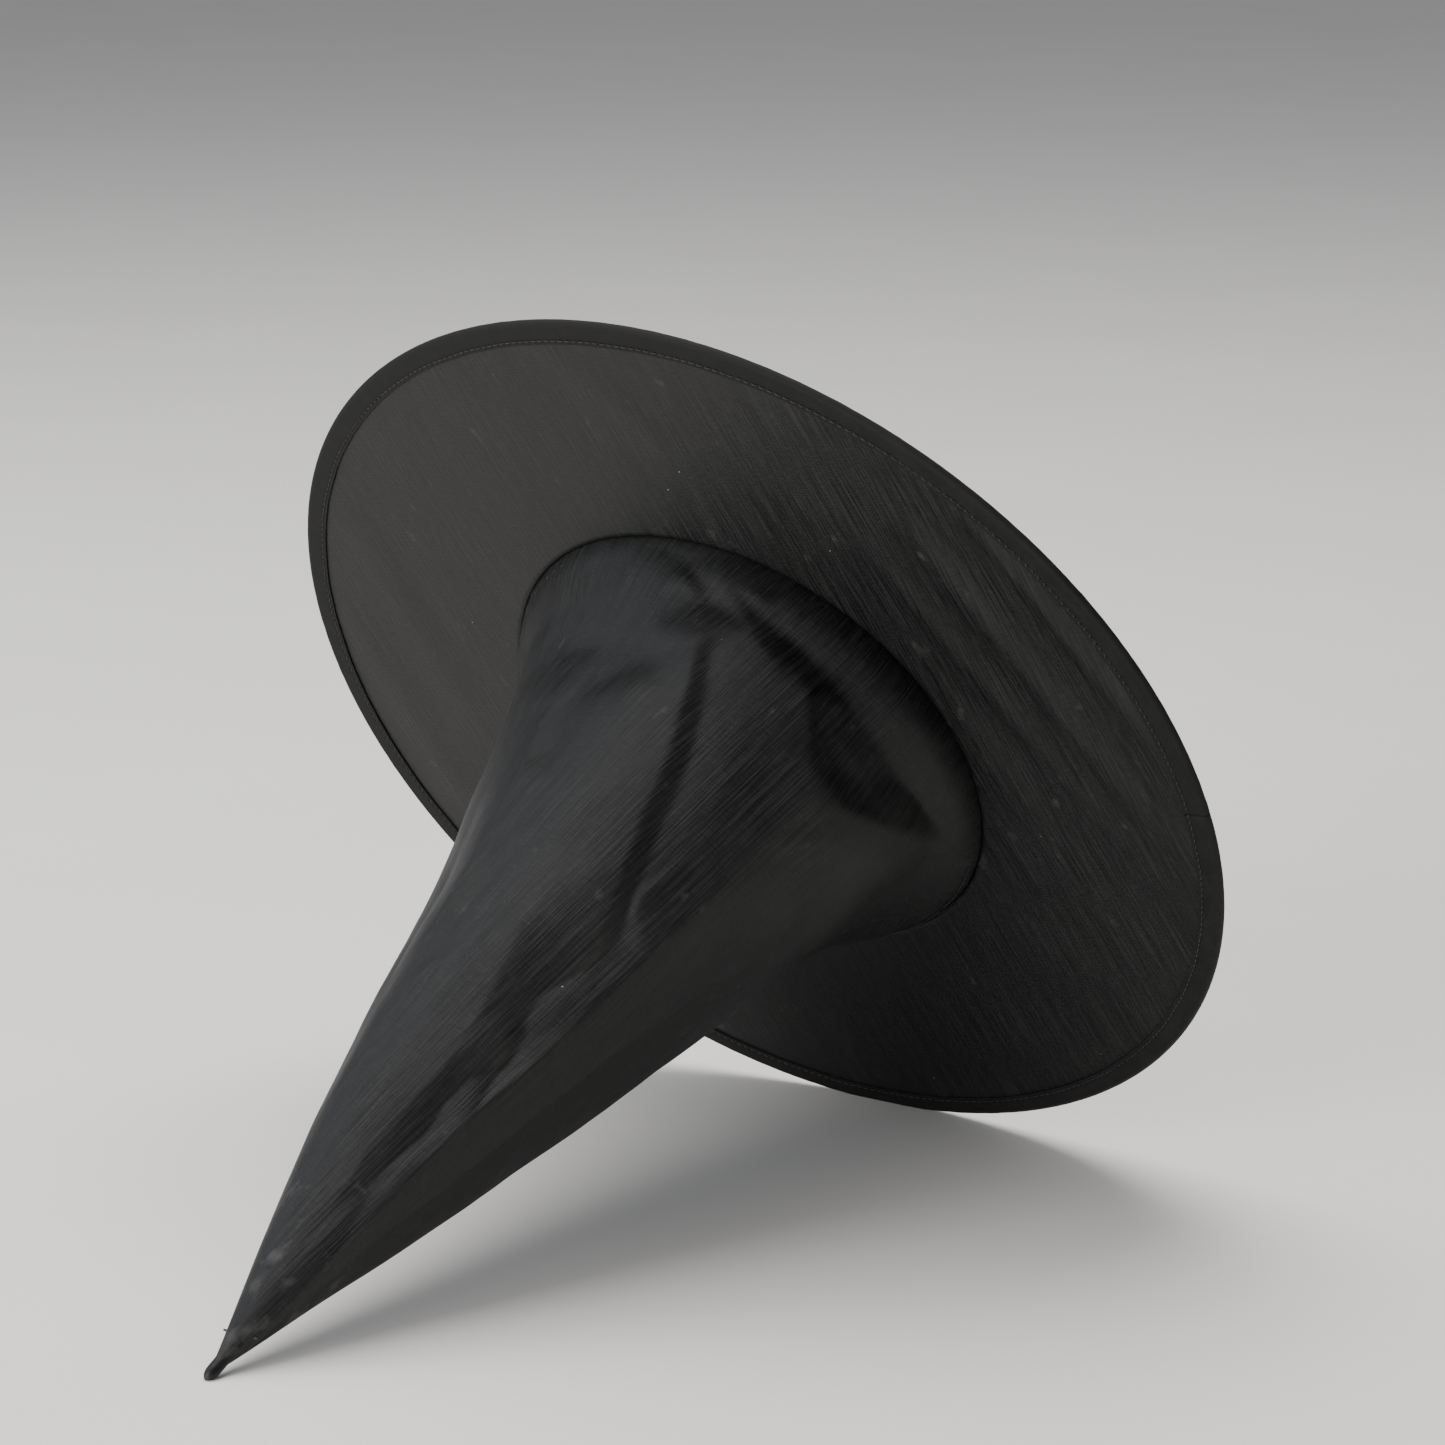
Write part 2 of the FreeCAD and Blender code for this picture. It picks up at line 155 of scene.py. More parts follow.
# Long soft waves of the taut cloth: start x, y, end x, y, half width and height.
BRIM_WAVES = [
    (104, 118, 172, -22, 6.0, 2.3),
    (128, 132, 182, 20, 4.5, 1.9),
    (82, 110, 150, -20, 4.5, 1.3),
    (96, 40, 128, -46, 7.0, 1.3),
    (-150, 92, -128, -20, 10.0, 0.35),
    (-172, 40, -150, -70, 8.0, 0.35),
    (-20, 178, 30, 118, 8.0, 0.3),
]


def wave_height(x, y):
    """How far the taut brim stands off its plane at a point."""
    total = 0.0
    for x0, y0, x1, y1, width, height in BRIM_WAVES:
        dx, dy = x1 - x0, y1 - y0
        length = math.hypot(dx, dy)
        along = ((x - x0) * dx + (y - y0) * dy) / length
        across = ((x - x0) * dy - (y - y0) * dx) / length
        rise = smooth(along, -0.15 * length, 0.25 * length)
        taper = rise * (1 - smooth(along, 0.75 * length, 1.15 * length))
        total += height * taper * math.exp(-(across / width) ** 2)
    radius = math.hypot(x, y)
    held = smooth(radius, HOLE_RADIUS, HOLE_RADIUS + 9)
    held *= 1 - smooth(radius, LAYER_RADIUS - 9, LAYER_RADIUS)
    ripple = 0.25 * noise.noise(Vector((x * 0.02, y * 0.009, 3.1)))
    return (total + ripple) * held


# ---------------------------------------------------------------- the cone's shape

# How far the slumped cone is squashed at each height: a share of its round radius.
SQUASH = [
    (0, 0), (2, 0.004), (10, 0.04), (20, 0.09), (39, 0.138), (65, 0.147), (129, 0.143), (161, 0.104),
    (194, 0.062), (226, 0.024), (258, 0), (400, 0),
]
SQUASH_BEARING = -49.0

# Creases and rolls of the slumped cone: lines of (height, bearing, offset) points, the offset being
# how far the cloth stands out from, or falls in from, the squashed round.  Many of the heights and
# bearings are not set by hand: they are rounded output of a separate program that cast points picked
# in the photograph onto the cone.  The offsets are set one by one.
CREASES = {
    "lit face over dark face": [
        (82, 27, 1), (104, 26, 2), (137, 26, 3.5), (158, 26, 4.5), (184, 26, 4), (210, 28, 3.5),
        (232, 28, 3), (254, 24, 2.5), (271, 21, 1.8), (292, 10, 0.8), (309, -20, 0),
    ],
    "first star, along the foot": [
        (3, 72, 0), (13, 74, -0.5), (22, 57, -3),
    ],
    "first star, upper side": [
        (13, 74, -0.5), (31, 58, 0.5), (45, 46, 0.5),
    ],
    "wedge, along the foot": [
        (22, 57, -3), (28, 32, -4.8), (27, 12, -4.2), (14, -17, -0.5),
    ],
    "wedge, lower side": [
        (14, -17, -0.5), (19, -11, 0), (39, 4, 1.5), (54, 18, 3), (61, 25, 3.5), (55, 33, 2.5),
    ],
    "wedge, upper side": [
        (22, 57, -3), (37, 43, 1), (55, 33, 2.5),
    ],
    "facet under the wedge": [
        (68, 16, 3.5), (52, 1, 2.5), (37, -8, 1), (14, -17, -0.5),
    ],
    "valley edge": [
        (40, 70, 2), (60, 64, 2), (82, 58, 2), (101, 54, 2), (122, 48, 2), (139, 41, 1),
    ],
    "valley": [
        (42, 65, -1), (60, 59, -1.5), (82, 53, -2), (101, 49.5, -2), (122, 43, -2), (137, 36, -2),
    ],
    "streak at the foot": [
        (7, 91, -1), (10, 85, -2), (22, 73, -2.5),
    ],
    "crease at the seam": [
        (3, 100, 0), (12, 101, -1.2), (20, 104, 0),
    ],
    "ridge on the left": [
        (30, 122, 0.5), (63, 106, 2), (88, 104, 2.5), (124, 102, 2.5), (156, 104, 2), (180, 106, 1.5),
        (211, 104, 1),
    ],
    "hollow, far edge": [
        (121, 65, 1), (135, 61, 1.3), (143, 61, 1.3), (153, 64, 1.3), (165, 62, 1.2), (182, 58, 1),
        (200, 55, 1), (222, 58, 0.6), (240, 62, 0.4),
    ],
    "hollow, bottom": [
        (137, 36, -1.6), (146, 36, -1.8), (154, 39, -2.2), (166, 43, -2.2), (176, 41, -1.7),
    ],
    "rib across the hollow": [
        (180, 41, 0), (183, 44, 0.8), (192, 50, 0.8), (200, 55, 1),
    ],
    "second hollow": [
        (181, 35, -1.5), (189, 33, -1.8), (198, 42, -2), (210, 43, -1.8), (219, 40, -1.8),
        (240, 45, -1),
    ],
    "finger": [
        (125, 40, 0.2), (130, 34, 0.5), (137, 31, 0.6),
    ],
}

# Loose points of the cone's cloth, in the same terms and mostly given one by one.
SLACK = [
    (25, 76, -1.5), (46, 80, -3.5), (56, 90, -3.5), (62, 98, -2), (9, 112, 1), (14, 120, 1.2),
    (20, 90, 0.5), (18, 80, 0.3), (17, 66, 0.5), (30, 110, -1), (40, 100, -3), (34, 88, -2.5),
    (12, 60, -0.8), (15, 50, -1), (8, 48, -0.6), (14, 38, -1), (13, 20, -1), (12, 0, -0.5),
    (20, 30, -2), (20, 8, -2), (45, 24, -3), (40, 36, -3), (30, 66, 0.5), (60, 48, 0.5), (82, 42, 0.5),
    (104, 38, 0), (75, 28, 0.5), (60, 78, 0.5), (80, 80, 0.5), (110, 80, 0.5), (140, 80, 0.5),
    (170, 80, 0.3), (62, 96, -2), (86, 94, -1.5), (124, 92, -1.5), (156, 93, -1.2), (190, 94, -1),
    (30, 131, 3), (50, 131, 3), (97, 131, 0), (129, 131, -2), (161, 131, -1), (60, -10, 0),
    (30, -30, -3.5), (82, -12, -3), (104, -12, -5), (129, -12, -7), (157, -12, -7.5), (184, -12, -6.3),
    (210, -12, -5), (232, -12, -4), (254, -12, -3), (275, -12, -1.5), (30, -50, -3), (60, -50, -2.5),
    (97, -50, 1), (129, -50, 1.5), (161, -50, 1), (200, -50, 0), (240, -50, 0), (280, -50, 0),
    (240, 92, 0), (255, 125, -0.3), (260, 58, -0.6), (254, 35, 0.5), (270, 100, -0.5), (280, 55, 0.5),
    (300, 84, 0.3), (190, 131, 0), (230, 131, 0),
]
SLACK += [(z, bearing, 0) for z in (2, 330) for bearing in range(-180, 180, 30)]
SLACK += [(z, bearing, 0) for z in (40, 90, 150, 220, 290) for bearing in (-170, -130, -85, 165)]
Z_STEP, TURN_STEP = 1.25, 0.75
NET_TOP = 330.0
NET_ROWS = int(NET_TOP / Z_STEP) + 1
NET_COLUMNS = int(360 / TURN_STEP)


def between(table, value):
    """Read a table of (place, amount) pairs between its entries."""
    for (x0, y0), (x1, y1) in zip(table, table[1:]):
        if value <= x1:
            return y0 + (y1 - y0) * (value - x0) / (x1 - x0)
    return table[-1][1]


def net_triangles():
    """Facets over height and bearing that keep every crease.

    They are repeated past a half turn either way, so that they close round the cone.
    """
    points, offsets, edges, index = [], [], [], {}

    def place(z, bearing, offset):
        if (z, bearing) not in index:
            index[(z, bearing)] = len(points)
            points.append(Vector((z, bearing)))
            offsets.append(offset)
        return index[(z, bearing)]

    for turn in (0, -360, 360):
        for chain in CREASES.values():
            moved = [(z, bearing + turn, offset) for z, bearing, offset in chain]
            inside = [point for point in moved if abs(point[1]) <= 270]
            numbers = [place(*point) for point in inside]
            edges += list(zip(numbers, numbers[1:]))
        for z, bearing, offset in SLACK:
            if abs(bearing + turn) <= 270:
                place(z, bearing + turn, offset)
    flat, _, faces, origins, _, _ = delaunay_2d_cdt(points, edges, [], 0, 1e-6)
    values = [offsets[origin[0]] if origin else None for origin in origins]
    if None in values:
        raise RuntimeError("two creases of the cone cross")
    return [[(flat[i].x, flat[i].y, values[i]) for i in face] for face in faces]


def net_places():
    """The height and the bearing of every sample of the net's grid."""
    heights = np.arange(NET_ROWS) * Z_STEP
    turns = np.arange(NET_COLUMNS) * TURN_STEP - 180
    return np.meshgrid(heights, turns, indexing="ij")


def net_grid(triangles):
    """The facets' offsets on a regular grid of heights and bearings."""
    heights, turns = net_places()
    grid = np.zeros_like(heights)
    for (x0, y0, h0), (x1, y1, h1), (x2, y2, h2) in triangles:
        area = (x1 - x0) * (y2 - y0) - (x2 - x0) * (y1 - y0)
        b = ((heights - x0) * (y2 - y0) - (x2 - x0) * (turns - y0)) / area
        c = ((x1 - x0) * (turns - y0) - (heights - x0) * (y1 - y0)) / area
        inside = (b >= -1e-6) & (c >= -1e-6) & (b + c <= 1 + 1e-6)
        grid[inside] = (h0 + b * (h1 - h0) + c * (h2 - h0))[inside]
    return grid


def blurred(grid, passes):
    """Round the facets off, as cloth does."""
    for _ in range(passes):
        grid = (np.roll(grid, 1, 1) + 2 * grid + np.roll(grid, -1, 1)) / 4
        padded = np.pad(grid, ((1, 1), (0, 0)), mode="edge")
        grid = (padded[:-2] + 2 * grid + padded[2:]) / 4
    return grid


def crease_nearness():
    """1 on every crease, falling away over a few millimetres of cloth."""
    heights, turns = net_places()
    arc = 96.1 * (1 - heights / CROWN_HEIGHT).clip(0.02) * math.pi / 180
    nearest = np.full(heights.shape, 1e6)
    for chain in CREASES.values():
        for (z0, b0, _), (z1, b1, _) in zip(chain, chain[1:]):
            dz, db = z1 - z0, (b1 - b0) * arc
            oz, ob = heights - z0, (turns - b0) * arc
            share = ((oz * dz + ob * db) / (dz * dz + db * db)).clip(0, 1)
            nearest = np.minimum(nearest, (oz - share * dz) ** 2 + (ob - share * db) ** 2)
    return np.exp(-nearest / 6.0 ** 2)


FACETS = net_grid(net_triangles())
NEARNESS = crease_nearness()
NET = blurred(FACETS, 2) * NEARNESS + blurred(FACETS, 14) * (1 - NEARNESS)


def net_offset(z, bearing):
    """The slumped cloth's offset at a height and bearing, between the grid's samples."""
    row = min(max(z / Z_STEP, 0), NET_ROWS - 1.001)
    column = (bearing + 180) / TURN_STEP
    j, i = int(row), math.floor(column)
    b, a = row - j, column - i
    low = NET[j, i % NET_COLUMNS] * (1 - a) + NET[j, (i + 1) % NET_COLUMNS] * a
    high = NET[j + 1, i % NET_COLUMNS] * (1 - a) + NET[j + 1, (i + 1) % NET_COLUMNS] * a
    return float(low * (1 - b) + high * b)


def crown_round_radius(z):
    """The radius of the cone's cloth at a height, if it stood round."""
    straight = 96.1 * (1 - z / CROWN_HEIGHT)
    foot = CROWN_FOOT_RADIUS + 0.2 * smooth(z, 0.6, 3)
    radius = foot + (straight - foot) * smooth(z, 1, 24)
    blunt = 2.5 * math.sqrt(max(0.0, 1 - (max(0.0, z - 319) / 4.5) ** 2))
    return max(radius, blunt)


def crown_radius(z, bearing):
    """The slumped cone's radius at a height and bearing."""
    angle = math.radians(bearing)
    squash = between(SQUASH, z)
    away = math.cos(angle - math.radians(SQUASH_BEARING)) ** 2
    radius = crown_round_radius(z) * (1 + squash * (0.87 - 1.87 * away))
    radius += net_offset(z, bearing)
    side = Vector((math.cos(angle), math.sin(angle), 0))
    calm = 1 - smooth(z, 200, 310)
    radius += 0.5 * noise.noise(side * 2.2 + Vector((0, 0, z * 0.03))) * smooth(z, 12, 60) * calm
    radius += 0.16 * noise.noise(side * radius * 0.11 + Vector((0, 0, z * 0.09))) * calm
    pucker = math.sin(angle * 96 + 2.5 * noise.noise(side * 9))
    radius += 0.12 * pucker * (1 - smooth(z, 5, 14)) * smooth(z, 2.2, 4.5)
    seam = math.remainder(bearing - SEAM_BEARING, 360) * math.pi / 180 * radius
    return radius - 0.45 * math.exp(-(seam / 0.9) ** 2) * smooth(z, 0, 6)


def crown_point(z, bearing, inset=0.0):
    """A point of the cone's cloth, or of the layer that lies inside it by an inset."""
    angle = math.radians(bearing)
    side = Vector((math.cos(angle), math.sin(angle), 0))
    radius = crown_radius(z, bearing)
    drift = CROWN_LEAN * max(0.0, z - 15) / (CROWN_HEIGHT - 15)
    sag = -1.6 * smooth(z, 270, 318)
    radius = max(radius - inset, 0.0)
    place = hat_point(drift + radius * side.x, sag + radius * side.y, z)
    place.z = max(place.z, 0.00005)
    return place


def pressed(z, bearing):
    """How far the slumped cone presses the brim's turned edge and the band inwards at a place."""
    room = TURNED_RADIUS + CLOTH + CROWN_CLOTH + PRESS_ROOM
    return max(0.0, room - crown_radius(z, bearing)) * smooth(z, 2.5, 6)


# ---------------------------------------------------------------- meshes

def mesh_piece(name, points, faces, cloth, wear=None):
    """A smooth mesh that carries its place on the flat cloth, and its wear, at every point."""
    mesh = bpy.data.meshes.new(name)
    mesh.from_pydata(points, [], faces)
    attribute = mesh.attributes.new("cloth", "FLOAT_VECTOR", "POINT")
    attribute.data.foreach_set("vector", [value * MM for place in cloth for value in place])
    if wear:
        mesh.attributes.new("wear", "FLOAT", "POINT").data.foreach_set("value", wear)
    mesh.polygons.foreach_set("use_smooth", [True] * len(mesh.polygons))
    work = bmesh.new()
    work.from_mesh(mesh)
    bmesh.ops.remove_doubles(work, verts=work.verts, dist=1e-7)
    bmesh.ops.recalc_face_normals(work, faces=work.faces)
    work.to_mesh(mesh)
    work.free()
    piece = bpy.data.objects.new(name, mesh)
    bpy.context.scene.collection.objects.link(piece)
    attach(piece, "root")
    return piece


def swept(name, columns, closed, wear_of=None):
    """Skin columns of (point, place on the cloth) that go once round the hat.

    A closed column is a whole section; an open one runs from one pole to the other.
    """
    count, depth = len(columns), len(columns[0])
    steps = depth if closed else depth - 1
    faces = []
    for i in range(count):
        here, there = i * depth, (i + 1) % count * depth
        for j in range(steps):
            k = (j + 1) % depth
            faces.append((here + j, there + j, there + k, here + k))
    points = [place for column in columns for place, _ in column]
    cloth = [flat for column in columns for _, flat in column]
    wear = [wear_of(flat) for flat in cloth] if wear_of else None
    return mesh_piece(name, points, faces, cloth, wear)


def bearings(step, dense=()):
    """Bearings once round the hat, starting at the cone's seam, with extra ones close to it."""
    count = round(360 / step)
    turns = {round(SEAM_BEARING + i * 360 / count, 3) for i in range(count)}
    for extra in dense:
        turns.add(round(SEAM_BEARING + extra, 3))
        turns.add(round(SEAM_BEARING + 360 - extra, 3))
    return sorted(turns)


def steps_between(low, high, step):
    """Evenly spaced values from low to high, both included."""
    count = max(1, round(abs(high - low) / step))
    return [low + (high - low) * i / count for i in range(count + 1)]


# ---------------------------------------------------------------- the brim's cloths

GRAIN = math.radians(-77)


def on_grain(x, y, layer=0.0):
    """A place on the brim's cloth, measured across and along its threads."""
    across = x * math.sin(GRAIN) - y * math.cos(GRAIN)
    along = x * math.cos(GRAIN) + y * math.sin(GRAIN)
    return (across, along, layer)


def brim_column(bearing, section, layer):
    """One bearing's section of a brim layer, given as (radius, height) pairs that follow the waves."""
    angle = math.radians(bearing)
    column = []
    for radius, height in section:
        if radius < HOLE_RADIUS - 1:
            radius -= pressed(height, bearing)
        x, y = radius * math.cos(angle), radius * math.sin(angle)
        column.append((hat_point(x, y, height + wave_height(x, y)), on_grain(x, y, layer)))
    return column


def flat_section(inner, outer, low, high, step):
    """A flat layer's section: out along its upper face and back along its lower one."""
    radii = steps_between(inner, outer, step)
    return [(radius, high) for radius in radii] + [(radius, low) for radius in reversed(radii)]


def make_brim():
    """The brim's upper cloth, its board, and its under cloth with the edge turned up in the opening."""
    upper_low = BRIM_THICK - CLOTH
    radii = steps_between(HOLE_RADIUS, HOLE_RADIUS + 4, 0.5)
    radii += steps_between(HOLE_RADIUS + 6, LAYER_RADIUS, 2)
    face = [(radius, BRIM_THICK - 0.45 * math.exp(-((radius - HOLE_RADIUS) / 0.9) ** 2))
            for radius in radii]
    back = [(radius, height - CLOTH) for radius, height in reversed(face)]
    upper = swept("brim_upper_taffeta", [brim_column(b, face + back, 0) for b in bearings(0.75)], True)
    board_section = flat_section(HOLE_RADIUS, LAYER_RADIUS, CLOTH, upper_low - 0.02, 3)
    board = swept("brim_board", [brim_column(b, board_section, 40) for b in bearings(0.75)], True)
    turn_radius = 1.2
    outside = [(radius, 0.0) for radius in steps_between(LAYER_RADIUS, TURNED_RADIUS + 3, 2)]
    outside += [(TURNED_RADIUS + turn_radius * (1 - math.sin(turn)), turn_radius * (1 - math.cos(turn)))
                for turn in steps_between(0, math.pi / 2, math.pi / 12)]
    outside += [(TURNED_RADIUS, z) for z in steps_between(2.5, TURNED_HEIGHT, 1.5)]
    inside = []
    for radius, height in reversed(outside):
        if height >= turn_radius:
            inside.append((radius + CLOTH, height))
        elif radius > TURNED_RADIUS + turn_radius:
            inside.append((radius, height + CLOTH))
        else:
            turn = math.acos(1 - height / turn_radius)
            inside.append((radius + CLOTH * math.sin(turn), height + CLOTH * math.cos(turn)))
    section = outside + inside
    under = swept("brim_under_taffeta", [brim_column(b, section, 90) for b in bearings(0.75)], True)
    return upper, board, under


# ---------------------------------------------------------------- the binding and its stitches

STITCH_PITCH = 3.0
STITCHES = round(2 * math.pi * STITCH_RADIUS / STITCH_PITCH)
RIM_HALF = 2.1
RIM_CENTRE = BRIM_RADIUS - RIM_HALF


def binding_dip(radius, bearing):
    """How far a stitch pulls the folded tape down at a place."""
    phase = (bearing / 360 * STITCHES) % 1.0
    at_hole = math.exp(-((min(phase, 1 - phase)) / 0.17) ** 2)
    near = math.exp(-((radius - STITCH_RADIUS) / 0.75) ** 2)
    return near * (0.16 + 0.22 * at_hole)


def binding_column(bearing):
    """The tape's section: from the fold on the cone's side, round the rim, to the fold below."""
    wander = 0.25 * noise.noise(Vector((bearing * 0.21, 0, 0)))
    wander += 0.12 * noise.noise(Vector((bearing * 1.3, 5, 0)))
    start = BINDING_EDGE + wander
    line = []
    for radius in steps_between(start + 0.3, RIM_CENTRE, 0.5):
        fold = 0.25 * math.exp(-((radius - start - 0.7) / 0.8) ** 2)
        line.append((radius, RIM_HALF + fold - 0.25 - binding_dip(radius, bearing)))
    upper = [(start, RIM_HALF - 0.3), (start + 0.08, RIM_HALF - 0.08)] + line
    nose = []
    for turn in steps_between(0.16, math.pi - 0.16, math.pi / 14):
        height = (RIM_HALF - 0.25 * abs(math.cos(turn))) * math.cos(turn)
        nose.append((RIM_CENTRE + (RIM_HALF - 0.02) * math.sin(turn), height))
    lower = [(radius, -height) for radius, height in reversed(upper)]
    outside = upper + nose + lower
    inner_radius = RIM_HALF - BINDING_THICK
    inner_line = [(radius, inner_radius - 0.02) for radius in steps_between(start + 0.05, HOOP_RADIUS, 1.5)]
    hollow = inner_line + [
        (HOOP_RADIUS + inner_radius * math.sin(turn), inner_radius * math.cos(turn))
        for turn in steps_between(0.2, math.pi - 0.2, math.pi / 8)
    ] + [(radius, -height) for radius, height in reversed(inner_line)]
    angle = math.radians(bearing)
    slack = 0.12 * noise.noise(Vector((bearing * 0.6, 0, 9)))
    column, travelled = [], 0.0
    section = outside + list(reversed(hollow))
    for index, (radius, height) in enumerate(section):
        if index:
            travelled += math.dist(section[index - 1], section[index])
        bulge = 0.0
        if index < len(outside):
            bulge = slack * smooth(radius, STITCH_RADIUS + 1, STITCH_RADIUS + 3)
        place = hat_point(radius * math.cos(angle), radius * math.sin(angle), BRIM_MIDDLE + height + bulge)
        place.z = max(place.z, 0.0)
        column.append((place, (angle * RIM_CENTRE, travelled, 0)))
    return column


def tube(points, radius, sides, cloth_start):
    """The rings of a short thread along points: positions, faces from zero, and places on the thread."""
    positions, faces, cloth = [], [], []
    count = len(points)
    travelled = 0.0
    for index, point in enumerate(points):
        ahead = points[min(index + 1, count - 1)] - points[max(index - 1, 0)]
        ahead.normalize()
        first = ahead.orthogonal().normalized()
        second = ahead.cross(first)
        if index:
            travelled += (point - points[index - 1]).length / MM
        end = 0.55 if index in (0, count - 1) else 1.0
        for side in range(sides):
            turn = 2 * math.pi * side / sides
            positions.append(point + (first * math.cos(turn) + second * math.sin(turn)) * radius * end * MM)
            cloth.append((side / sides * 2, cloth_start + travelled, 0))
    for index in range(count - 1):
        for side in range(sides):
            after = (side + 1) % sides
            faces.append((index * sides + side, index * sides + after, (index + 1) * sides + after,
                          (index + 1) * sides + side))
    faces.append(tuple(reversed(range(sides))))
    faces.append(tuple((count - 1) * sides + side for side in range(sides)))
    return positions, faces, cloth


def stitched(name, runs, radius, sides=6):
    """One piece made of many short stitches, each given as its line of points."""
    points, faces, cloth = [], [], []
    for run in runs:
        more_points, more_faces, more_cloth = tube(run, radius, sides, len(points))
        base = len(points)
        points += more_points
        faces += [tuple(base + i for i in face) for face in more_faces]
        cloth += more_cloth
    return mesh_piece(name, points, faces, cloth)


def ring_stitches(radius, height, count, share, sink, wander=0.0, inward=False):
    """Lines of stitches once round the hat, each diving into the cloth at both its ends."""
    runs = []
    for index in range(count):
        middle = (index + 0.5) * 360 / count
        half = share * 180 / count
        off = wander * noise.noise(Vector((middle * 0.21, 0, 0)))
        run = []
        for part in (-1, -0.82, -0.4, 0, 0.4, 0.82, 1):
            depth = sink * max(0.0, abs(part) - 0.5) * 2
            if inward:
                run.append(polar(radius + off + depth, middle + part * half, height))
            else:
                run.append(polar(radius + off, middle + part * half, height - depth))
        runs.append(run)
    return runs


def make_rim():
    """The binding and the two threads that hold it."""
    step = 360 / (STITCHES * 4)
    tape = swept("rim_binding_tape", [binding_column(i * step) for i in range(STITCHES * 4)], True)
    top = BRIM_MIDDLE + RIM_HALF - 0.1
    needle_runs = ring_stitches(STITCH_RADIUS, top, STITCHES, 0.78, 0.42, 0.25)
    needle = stitched("binding_needle_stitches", needle_runs, 0.22)
    low = BRIM_MIDDLE - RIM_HALF + 0.1
    bobbin_runs = ring_stitches(STITCH_RADIUS, low, STITCHES, 0.7, -0.42, 0.25)
    bobbin = stitched("binding_bobbin_stitches", bobbin_runs, 0.22)
    return tape, needle, bobbin


# ---------------------------------------------------------------- the cone's cloth, board and seam

CONE_GRAIN = 28.0
CONE_SHARE = 0.2848


def on_cone(z, bearing, layer=0.0):
    """A place on the cone's cloth as it was cut, a flat sector, across and along its threads."""
    slant = (CROWN_HEIGHT - z) * 1.0435
    turn = math.radians((bearing - CONE_GRAIN) * CONE_SHARE)
    return (slant * math.sin(turn), slant * math.cos(turn), layer)


def crown_wear(flat):
    """Paler scuffs on the cloth near the tip."""
    return max(0.0, 1 - math.hypot(flat[0], flat[1]) / 95)


def make_crown():
    """The cone's cloth and the board behind it."""
    outer_heights = (
        [CROWN_FOOT] + steps_between(1.6, 8, 0.8) + steps_between(9.2, 306, 1.5)
        + steps_between(307, 319, 1) + [320.2, 321.3, 322.2, 322.9, 323.3, 323.5]
    )
    inner_heights = [CROWN_FOOT] + steps_between(4, 312, 4) + [315, 317]
    turns = bearings(0.75, (0.3, 0.55, 0.95, 1.2))
    columns = []
    for bearing in turns:
        column = [(crown_point(z, bearing, CROWN_CLOTH if z < 317 else 99), on_cone(z, bearing, 60))
                  for z in reversed(inner_heights)]
        column += [(crown_point(z, bearing, 0 if z < 323.5 else 99), on_cone(z, bearing))
                   for z in outer_heights]
        columns.append(column)
    cloth = swept("crown_taffeta", columns, False, crown_wear)
    board_columns = []
    board_heights = steps_between(16, 290, 4)
    outer_inset = CROWN_CLOTH + GAP
    for bearing in turns:
        column = [(crown_point(z, bearing, outer_inset), on_cone(z, bearing)) for z in board_heights]
        column += [(crown_point(z, bearing, outer_inset + CROWN_BOARD), on_cone(z, bearing))
                   for z in reversed(board_heights)]
        board_columns.append(column)
    board = swept("crown_board", board_columns, True)
    return cloth, board


def make_crown_seam():
    """Stitches of the cone's long seam, on the inside of the board."""
    depth = CROWN_CLOTH + GAP + CROWN_BOARD + GAP + 0.2
    runs = []
    for height in steps_between(18, 287, 3.2):
        run = []
        for part in (-1, -0.8, -0.4, 0, 0.4, 0.8, 1):
            sink = 0.5 * max(0.0, abs(part) - 0.5)
            run.append(crown_point(height + part * 1.2, SEAM_BEARING, depth - sink))
        runs.append(run)
    return stitched("crown_seam_stitches", runs, 0.22)


def make_tack():
    """Three turns of thread twisted into the bar that ties the tip."""
    low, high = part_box("tip_tack")
    middle = (low + high) / 2
    half = (high.x - low.x) / 2
    runs = []
    for strand in range(3):
        run = []
        for part in steps_between(-1, 1, 0.1):
            turn = part * 7 + strand * 2 * math.pi / 3
            twist = (0.25 * MM * math.cos(turn), 0.25 * MM * math.sin(turn))
            run.append(middle + Vector((part * half * 0.96, *twist)))
        runs.append(run)
    return stitched("tip_tack_threads", runs, 0.24)


# ---------------------------------------------------------------- the band and the label

def make_band():
    """The tape round the head opening, whose end laps over its start, with its stitches."""
    thick = 0.9
    columns = []
    for index in range(480):
        bearing = index * 0.75
        wave = 0.12 * noise.noise(Vector((bearing * 0.12, 2, 0)))
        lap = 0.18 * smooth(bearing, 176, 176.8) * (1 - smooth(bearing, 186, 186.8))
        inner = []
        for z in [0.0, 0.25] + steps_between(0.9, 13.1, 0.8) + [13.75, 14.0]:
            edge = 0.3 * (math.exp(-(z / 0.25) ** 2) + math.exp(-((BAND_HEIGHT - z) / 0.25) ** 2))
            dent = 0.22 * math.exp(-((z - 2.5) / 0.6) ** 2)
            inner.append((BAND_RADIUS + edge + dent + wave * z / 14 - lap, z))
        outer = [(BAND_RADIUS + thick, z) for z in steps_between(13.8, 0.2, 1.7)]
        column = []
        for radius, z in inner + outer:
            place = polar(radius - pressed(z, bearing), bearing, z)
            column.append((place, (math.radians(bearing) * BAND_RADIUS, z, 0)))
        columns.append(column)
    band = swept("sweatband_tape", columns, True)
    stitches = round(2 * math.pi * BAND_RADIUS / 2.8)
    runs = ring_stitches(BAND_RADIUS + 0.12, 2.5, stitches, 0.74, 0.3, 0, True)
    return band, stitched("sweatband_stitches", runs, 0.14)


